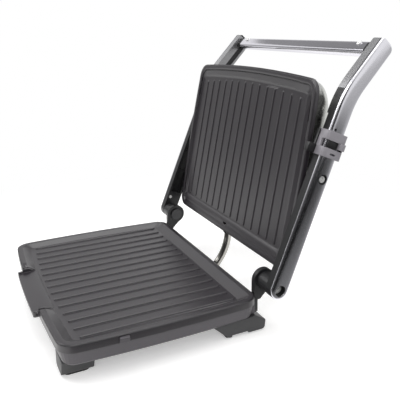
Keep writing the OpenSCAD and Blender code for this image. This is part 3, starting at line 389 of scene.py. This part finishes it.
def arm_spine():
    """Side-view places of the section up the arm: what an offset from the middle becomes."""
    tangent = BEND_R * math.tan(ARM_BEND / 2)
    rows = [lambda c, z=(ARM_LOWER - tangent) * i / 40: (c, z) for i in range(41)]
    for i in range(1, 17):
        turn = ARM_BEND * i / 16
        rows.append(lambda c, t=turn: (BEND_R - (BEND_R - c) * math.cos(t),
                                       ARM_LOWER - tangent + (BEND_R - c) * math.sin(t)))

    def upper(c, z):
        y, up = turned(c, z, ARM_BEND)
        return y, ARM_LOWER + up

    last = ARM_UPPER - 10
    rows += [lambda c, z=tangent + (last - tangent) * i / 8: upper(c, z) for i in range(1, 9)]

    def end(c):
        """How far the tip reaches at an offset; its corners are rounded."""
        r = TIP_BACK_R if c > 0 else TIP_FRONT_R
        into = max(0.0, abs(c) - (ARM_D / 2 - r))
        return ARM_UPPER - r + math.sqrt(max(0.0, r * r - into * into))

    rows += [lambda c, k=i / 10: upper(c, last + (end(c) - TIP_ROUND - last) * k)
             for i in range(1, 11)]
    return rows, lambda c, inset: upper(c, end(c) - inset)


def arm_shell(name, side, node):
    """The bright outer cover of one arm, from the hinge boss over the tip."""
    section = crown_section()
    across = [(-d, x) for d, x in reversed(section)] + section[1:]
    spine, tip = arm_spine()
    mesh = bmesh.new()
    # round the hinge
    grid(mesh, [[arm_point(x, d * math.cos(a), -d * math.sin(a), side) for d, x in section]
                for a in (math.pi * i / 36 for i in range(37))])
    # up the arm
    rows = [[arm_point(x, *at(c), side) for c, x in across] for at in spine]
    # over the tip with a small round, and down its end
    for turn in (30, 60, 90):
        drop = TIP_ROUND * (1 - math.cos(math.radians(turn)))
        inset = TIP_ROUND * (1 - math.sin(math.radians(turn)))
        rows.append([arm_point(max(SEAM_X, x - drop), *tip(c, inset), side) for c, x in across])
    rows.append([arm_point(SEAM_X, *tip(c, 0.0), side) for c, x in across])
    grid(mesh, rows)
    made = piece(name, mesh, "arm_metal", "arms", (node,), 30.0, COVER_T)
    # recesses for the hinge screw, the pivot screw and the small mark by the knee
    for y, z, r in ((0, 0, HINGE_RECESS_R), (PIVOT_BACK, PIVOT_UP, PIVOT_RECESS_R),
                    (6.1 - ARM_D / 2, MARK_UP, 1.5)):
        drill(made, arm_point(ARM_OUT - 4, y, z, side), arm_point(ARM_OUT + 6, y, z, side), r)
    made.data.shade_smooth()
    made.data.set_sharp_from_angle(angle=math.radians(30))
    return made


def drill(made, start, end, radius):
    """Cuts a round hole through a piece, from one point to another."""
    mesh = bmesh.new()
    bmesh.ops.create_cone(mesh, cap_ends=True, segments=64, radius1=radius * MM,
                          radius2=radius * MM, depth=(end - start).length)
    turn = (end - start).to_track_quat("Z", "Y").to_matrix().to_4x4()
    bmesh.ops.transform(mesh, matrix=Matrix.Translation((start + end) / 2) @ turn,
                        verts=mesh.verts)
    data = bpy.data.meshes.new("bit")
    mesh.to_mesh(data)
    mesh.free()
    bit = bpy.data.objects.new("bit", data)
    bpy.context.scene.collection.objects.link(bit)
    cut = made.modifiers.new("cut", "BOOLEAN")
    cut.operation, cut.object, cut.solver = "DIFFERENCE", bit, "EXACT"
    settle(made)
    bpy.data.objects.remove(bit)


# ---- plates ----

def cast_plate(name, node, body, local, world, ribs, depth):
    """The plate with the soft draft and slim ribs of a casting under its coating."""
    mesh = bmesh.new()
    mesh.from_mesh(bpy.data.objects[node].data)
    bmesh.ops.remove_doubles(mesh, verts=mesh.verts, dist=NODE_WELD)
    bmesh.ops.dissolve_limit(mesh, angle_limit=math.radians(0.4), verts=mesh.verts,
                             edges=mesh.edges)
    foot, brink = set(), set()
    shift = 0.5 * ((ribs + 1) % 2)
    for v in mesh.verts:
        x, y, z = local(v.co)
        h, t = x / (PLATE_W / 2), 1 + 2 * y / PLATE_D
        flat_y = y + FRONT_BOW * (1 - h * h) * max(0.0, -t)
        flat_x = abs(x) - SIDE_BOW * abs(h) * (1 - t * t)
        inside = flat_x < BRINK_X and BRINK_FRONT < flat_y < BRINK_BACK
        if abs(z) < 0.03 and inside:
            brink.add(v)
        elif abs(x) < SPOUT_X and flat_y <= BRINK_FRONT and SPOUT_LOW < z < SPOUT_HIGH:
            v.co = world(x, y, z * depth)
        if not inside or z > -0.03 or z < -WELL_D - 0.06:
            continue
        ribbed = flat_x < RIB_X and RIB_FRONT < flat_y < RIB_BACK
        if ribbed and (z > -WELL_D + 0.04 or flat_x < FLOOR_X):
            middle = (math.floor(x / RIB_PITCH - shift + 0.5) + shift) * RIB_PITCH
            v.co = world(middle + (x - middle) * RIB_SLIM, y, z * depth)
            continue
        if abs(z + WELL_D) < 0.06:
            foot.add(v)
        sink = -z / WELL_D
        side = min(1.0, max(0.0, (flat_x - 122) / 12)) * sink
        rear, fore = flat_y > -60, flat_y < -150
        if z < -WELL_D + 0.06:
            rear = min(1.0, max(0.0, (flat_y + 24) / 14))
            fore = min(1.0, max(0.0, (-flat_y - 190) / 11.5))
        v.co = world(x - math.copysign(WALL_IN_X * side, x),
                     y - (WALL_IN_BACK * rear - WALL_IN_FRONT * fore) * sink, z * depth)
    soft = [e for e in mesh.edges if all(v in foot for v in e.verts)]
    soft += [e for e in mesh.edges if all(v in brink for v in e.verts)
             and len(e.link_faces) == 2 and e.calc_face_angle(0) > math.radians(4)]
    bmesh.ops.bevel(mesh, geom=soft, offset=CAST_ROUND * MM, segments=5, profile=0.5,
                    affect="EDGES", clamp_overlap=True)
    return piece(name, mesh, "grill_plate", body, (node,), 38.0)


# ---- upper plate's cover ----

def plate_outline(inset, radius, corner=10, sides=12):
    """The plates' bowed outline, set in from the rim."""
    w, d = PLATE_W - 2 * inset, PLATE_D - 2 * inset
    x, y = w / 2 - radius, d - radius
    points = []
    for cx, cy, start, reach, more in (
            (x, -radius, 0, (-x, 0), sides), (-x, -radius, 90, (-w / 2, -y), sides),
            (-x, -y, 180, (x, -d), 2 * sides), (x, -y, 270, (w / 2, -radius), sides)):
        for i in range(corner + 1):
            a = math.radians(start + 90 * i / corner)
            points.append((cx + radius * math.cos(a), cy + radius * math.sin(a)))
        px, py = points[-1]
        points += [(px + (reach[0] - px) * i / more, py + (reach[1] - py) * i / more)
                   for i in range(1, more)]
    bowed = []
    for px, py in points:
        h, v = 2 * px / w, 1 + 2 * py / d
        bowed.append((px + SIDE_BOW * h * (1 - v * v),
                      py - FRONT_BOW * (1 - h * h) * max(0.0, -v) - inset))
    return bowed


def dome_shell():
    """Drawn sheet dome: short upright wall, then a quarter-oval shoulder to a flat top."""
    levels = [(b, DOME_WALL_IN + DOME_DRAFT * b / DOME_WALL)
              for b in (UPPER_SKIRT - 0.4, 7.0, 9.5, DOME_WALL)]
    for i in range(1, 33):
        fall = math.cos(math.pi / 2 * i / 32)
        levels.append((DOME_WALL + (DOME_D - DOME_WALL) * (1 - fall * fall) ** (1 / DOME_POWER),
                       DOME_WALL_IN + DOME_DRAFT + DOME_ROUND * (1 - fall)))
    mesh = bmesh.new()
    rows = [[lid_point(x, y, -b) for x, y in plate_outline(inset, PLATE_R + 0.9 * inset)]
            for b, inset in levels]
    held = grid(mesh, [row + row[:1] for row in rows])
    bmesh.ops.remove_doubles(mesh, verts=mesh.verts, dist=WELD)
    top = [v for v in held[-1] if v.is_valid]
    mesh.faces.new(top)
    return piece("lid_dome", mesh, "dome_steel", "upper_plate", ("lid_cover",), 30.0, DOME_T)


# ---- wiring conduit ----

def conduit_path():
    """Side-view points of the tube: out of the base, up through two bends into the cover."""
    turn, s, c = CONDUIT_TURN, math.sin(CONDUIT_TURN), math.cos(CONDUIT_TURN)
    py, pz = turned(PIVOT_BACK, PIVOT_UP, ARM_LEAN)
    out = PIVOT_IN - GLAND_BACK
    gland_y = HINGE_Y + py - PIVOT_U * math.sin(LID_LEAN) - out * math.cos(LID_LEAN)
    gland_z = HINGE_Z + pz - PIVOT_U * math.cos(LID_LEAN) + out * math.sin(LID_LEAN)
    run_y = gland_y + 0.2 - CONDUIT_Y - CONDUIT_MID * c
    run_z = gland_z + 2.2 + CONDUIT_Z - CONDUIT_MID * s
    low = (run_y * c - run_z * (1 - s)) / (s + c - 1)
    high = (run_z * s - run_y * (1 - c)) / (s + c - 1)
    path = [(-14.0, -CONDUIT_Z), (-6.0, -CONDUIT_Z), (CONDUIT_Y, -CONDUIT_Z)]
    path += [(CONDUIT_Y + low * math.sin(a), -CONDUIT_Z + low * (1 - math.cos(a)))
             for a in (turn * i / 28 for i in range(1, 29))]
    y, z = path[-1]
    y, z = y + CONDUIT_MID * c, z + CONDUIT_MID * s
    path.append((y, z))
    path += [(y + high * (math.sin(a) - s), z + high * (c - math.cos(a)))
             for a in (turn + (math.pi / 2 - turn) * i / 28 for i in range(1, 29))]
    path.append((path[-1][0], path[-1][1] + 4))
    return path


def conduit_tube(name, first, last):
    """One half of the tube, from one point of the path to another."""
    path = conduit_path()
    mesh = bmesh.new()
    rows = []
    for i in range(first, last + 1):
        y, z = path[i]
        (ay, az), (by, bz) = path[max(0, i - 1)], path[min(len(path) - 1, i + 1)]
        length = math.hypot(by - ay, bz - az)
        ny, nz = -(bz - az) / length, (by - ay) / length
        rows.append([base_point(CONDUIT_R * math.sin(a), y + CONDUIT_R * math.cos(a) * ny,
                                z + CONDUIT_R * math.cos(a) * nz)
                     for a in (2 * math.pi * k / TUBE_SIDES for k in range(TUBE_SIDES))])
    held = grid(mesh, [row + row[:1] for row in rows])
    bmesh.ops.remove_doubles(mesh, verts=mesh.verts, dist=WELD)
    for end in (held[0], held[-1]):
        mesh.faces.new([v for v in end if v.is_valid])
    return piece(name, mesh, "polished_steel", None, ("conduit",), 40.0)


arm_shell("arm_shell_right", 1, "arm_cover_right")
arm_shell("arm_shell_left", -1, "arm_cover_left")
cast_plate("lower_casting", "lower_plate", "base", base_local, base_point, 15, 0.6)
cast_plate("upper_casting", "upper_plate", "upper_plate", lid_local, lid_point, 14, 0.26)
dome_shell()
tube_points = conduit_path()
tube_top = len(tube_points) - 1
half_y, half_z = tube_points[CONDUIT_HALF]
# the two halves of the tube meet partway along its path
conduit_low = conduit_tube("conduit_low", 0, CONDUIT_HALF)
base_point(0, CONDUIT_Y, -CONDUIT_Z)
base_point(0, half_y - 1.5, half_z - 1.5)
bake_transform(conduit_low)
conduit_high = conduit_tube("conduit_high", CONDUIT_HALF, tube_top)
base_point(0, half_y + 1.5, half_z + 1.5)
base_point(0, *tube_points[tube_top - 2])
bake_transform(conduit_high)


for held_node, held_slot, held_body, edge in (
        ("lid_clip", "clip_plastic", "clip", 1.1), ("clip_button", "black_plastic", "clip", 0.35),
        ("clip_hook", "black_plastic", "clip", 0.35), ("front_feet", "foot_plastic", "base", 1.2),
        ("rear_feet", "foot_plastic", "base", 1.2), ("latch_lug", "housing_plastic", "base", 0.4)):
    rounded_copy(held_node, held_slot, held_body, edge)


# ---- stage ----

def seen_rays(look):
    """1 for what the camera, a reflection or a clear body sees."""
    path = look.node("ShaderNodeLightPath")
    return path[0].most(path[3]).most(path[6])


def stage_floor():
    """White floor that keeps the object's shadow and runs out into a white backdrop."""
    look = Look("pale floor", roughness=0.9, specular_ior_level=0.0)
    look.set("Base Color", (0.86, 0.855, 0.85))
    away = look.node("ShaderNodeVectorMath", {"operation": "LENGTH"},
                     {0: look.place((1, 1, 0))})[1]
    plain = Value(look, look.shader.outputs[0])
    lift = look.node("ShaderNodeEmission", {}, {"Color": (1, 1, 1), "Strength": 0.36})[0]
    bright = look.node("ShaderNodeEmission", {}, {"Color": (1, 1, 1), "Strength": 1.0})[0]
    lifted = look.node("ShaderNodeAddShader", {}, {0: plain, 1: lift})[0]
    shown = look.node("ShaderNodeMixShader", {},
                      {0: look.step(away, 0.3, 0.6), 1: lifted, 2: bright})[0]
    look.plug(look.node("ShaderNodeMixShader", {}, {0: seen_rays(look), 1: plain, 2: shown})[0],
              look.output.inputs["Surface"])
    return sheet_of("floor", [(-6, -6, 0), (6, -6, 0), (6, 6, 0), (-6, 6, 0)], look)


def sheet_of(name, corners, look):
    """A flat sheet of the stage."""
    mesh = bpy.data.meshes.new(name)
    mesh.from_pydata(corners, [], [tuple(range(len(corners)))])
    made = bpy.data.objects.new(name, mesh)
    made.data.materials.append(look.material)
    bpy.context.scene.collection.objects.link(made)
    return made


def dark_card(name, corners, middle, near, far, tone, end):
    """Studio card that only reflections see; it pales with distance from a point."""
    look = Look(name)
    away = look.node("ShaderNodeVectorMath", {"operation": "DISTANCE"},
                     {0: look.place(), 1: middle})[1]
    colour = look.between(look.step(away, near, far), (tone,) * 3, (end,) * 3)
    look.plug(look.node("ShaderNodeEmission", {}, {"Color": colour, "Strength": 1.0})[0],
              look.output.inputs["Surface"])
    card = sheet_of(name, corners, look)
    card.visible_camera = card.visible_diffuse = card.visible_shadow = False
    card.visible_transmission = card.visible_volume_scatter = False


def soft_box(name, at, aim, size, power):
    """A soft studio lamp, aimed at a point."""
    lamp = bpy.data.lights.new(name, "AREA")
    lamp.shape, lamp.size, lamp.size_y = "RECTANGLE", *size
    lamp.energy = power
    held = bpy.data.objects.new(name, lamp)
    held.location = at
    held.rotation_euler = (Vector(aim) - Vector(at)).to_track_quat("-Z", "Y").to_euler()
    bpy.context.scene.collection.objects.link(held)


def room():
    """White surroundings: softer as light than as what is seen."""
    world = bpy.data.worlds.new("room")
    bpy.context.scene.world = world
    world.use_nodes = True
    tree = world.node_tree
    path = tree.nodes.new("ShaderNodeLightPath")
    lit = tree.nodes["Background"]
    lit.inputs[0].default_value, lit.inputs[1].default_value = (1, 1, 1, 1), 0.62
    seen = tree.nodes.new("ShaderNodeBackground")
    seen.inputs[0].default_value, seen.inputs[1].default_value = (1, 1, 1, 1), 1.0
    from_lit = lit.outputs[0]
    for ray in ("Is Camera Ray", "Is Glossy Ray", "Is Transmission Ray"):
        mix = tree.nodes.new("ShaderNodeMixShader")
        tree.links.new(path.outputs[ray], mix.inputs[0])
        tree.links.new(from_lit, mix.inputs[1])
        tree.links.new(seen.outputs[0], mix.inputs[2])
        from_lit = mix.outputs[0]
    tree.links.new(from_lit, tree.nodes["World Output"].inputs[0])


def viewpoint():
    """The camera, to the right and in front of the open grill."""
    azimuth, elevation, roll = (math.radians(v) for v in VIEW_TURN)
    back = Vector((math.sin(azimuth) * math.cos(elevation),
                   -math.cos(azimuth) * math.cos(elevation), math.sin(elevation)))
    right = Vector((math.cos(azimuth), math.sin(azimuth), 0))
    up = back.cross(right)
    right, up = (math.cos(roll) * right + math.sin(roll) * up,
                 math.cos(roll) * up - math.sin(roll) * right)
    lens = bpy.data.cameras.new("camera")
    lens.sensor_width = VIEW_SENSOR
    lens.lens = VIEW_FOCAL / VIEW_FRAME * VIEW_SENSOR
    lens.shift_x, lens.shift_y = VIEW_SHIFT
    lens.clip_start = 0.01
    camera = bpy.data.objects.new("camera", lens)
    turn = Matrix((right, up, back)).transposed().to_4x4()
    camera.matrix_world = Matrix.Translation(base_point(*VIEW_AT)) @ turn
    bpy.context.scene.collection.objects.link(camera)
    bpy.context.scene.camera = camera


stage_floor()
room()
viewpoint()
dark_card("side_card",
          [(0.19, -1.2, 0.003), (5.8, -1.2, 0.003), (5.8, 5.8, 0.003), (0.19, 5.8, 0.003)],
          (2.0, -0.9, 0.0), 1.8, 2.35, 0.012, 0.55)
dark_card("front_card", [(-1.6, -1.9, 0.0), (1.2, -1.9, 0.0), (1.2, -1.9, 1.3), (-1.6, -1.9, 1.3)],
          (0.0, -1.9, 0.1), 0.7, 1.7, 0.05, 0.30)
dark_card("camera_card", [(1.2, -1.9, 0.0), (1.6, -0.2, 0.0), (1.6, -0.2, 1.1), (1.2, -1.9, 1.1)],
          (1.4, -1.1, 0.2), 0.6, 1.4, 0.03, 0.22)
dark_card("left_card",
          [(-1.5, -0.9, 1.12), (-1.5, 1.5, 1.12), (-1.5, 1.5, 2.6), (-1.5, -0.9, 2.6)],
          (-1.5, -0.9, 1.8), 0.4, 2.2, 0.26, 0.5)
dark_card("right_card", [(2.6, -1.0, 0.0), (2.6, 0.75, 0.0), (2.6, 0.75, 1.5), (2.6, -1.0, 1.5)],
          (2.6, -0.2, 0.4), 0.5, 1.3, 0.03, 0.4)
dark_card("low_left_card",
          [(-1.9, -1.9, 0.0), (-1.9, 0.45, 0.0), (-1.9, 0.45, 0.8), (-1.9, -1.9, 0.8)],
          (-1.9, -1.9, 0.2), 0.3, 1.3, 0.03, 0.55)
soft_box("key", (-1.1, -1.37, 1.7), (0, -0.07, 0.1), (1.3, 1.3), 18.0)
soft_box("top", (0.3, 0.13, 2.0), (0, -0.02, 0.1), (1.6, 1.6), 18.0)
soft_box("fill", (1.5, -0.9, 1.2), (0.1, 0.0, 0.15), (0.9, 0.9), 9.0)
bpy.context.scene.view_settings.view_transform = "Standard"
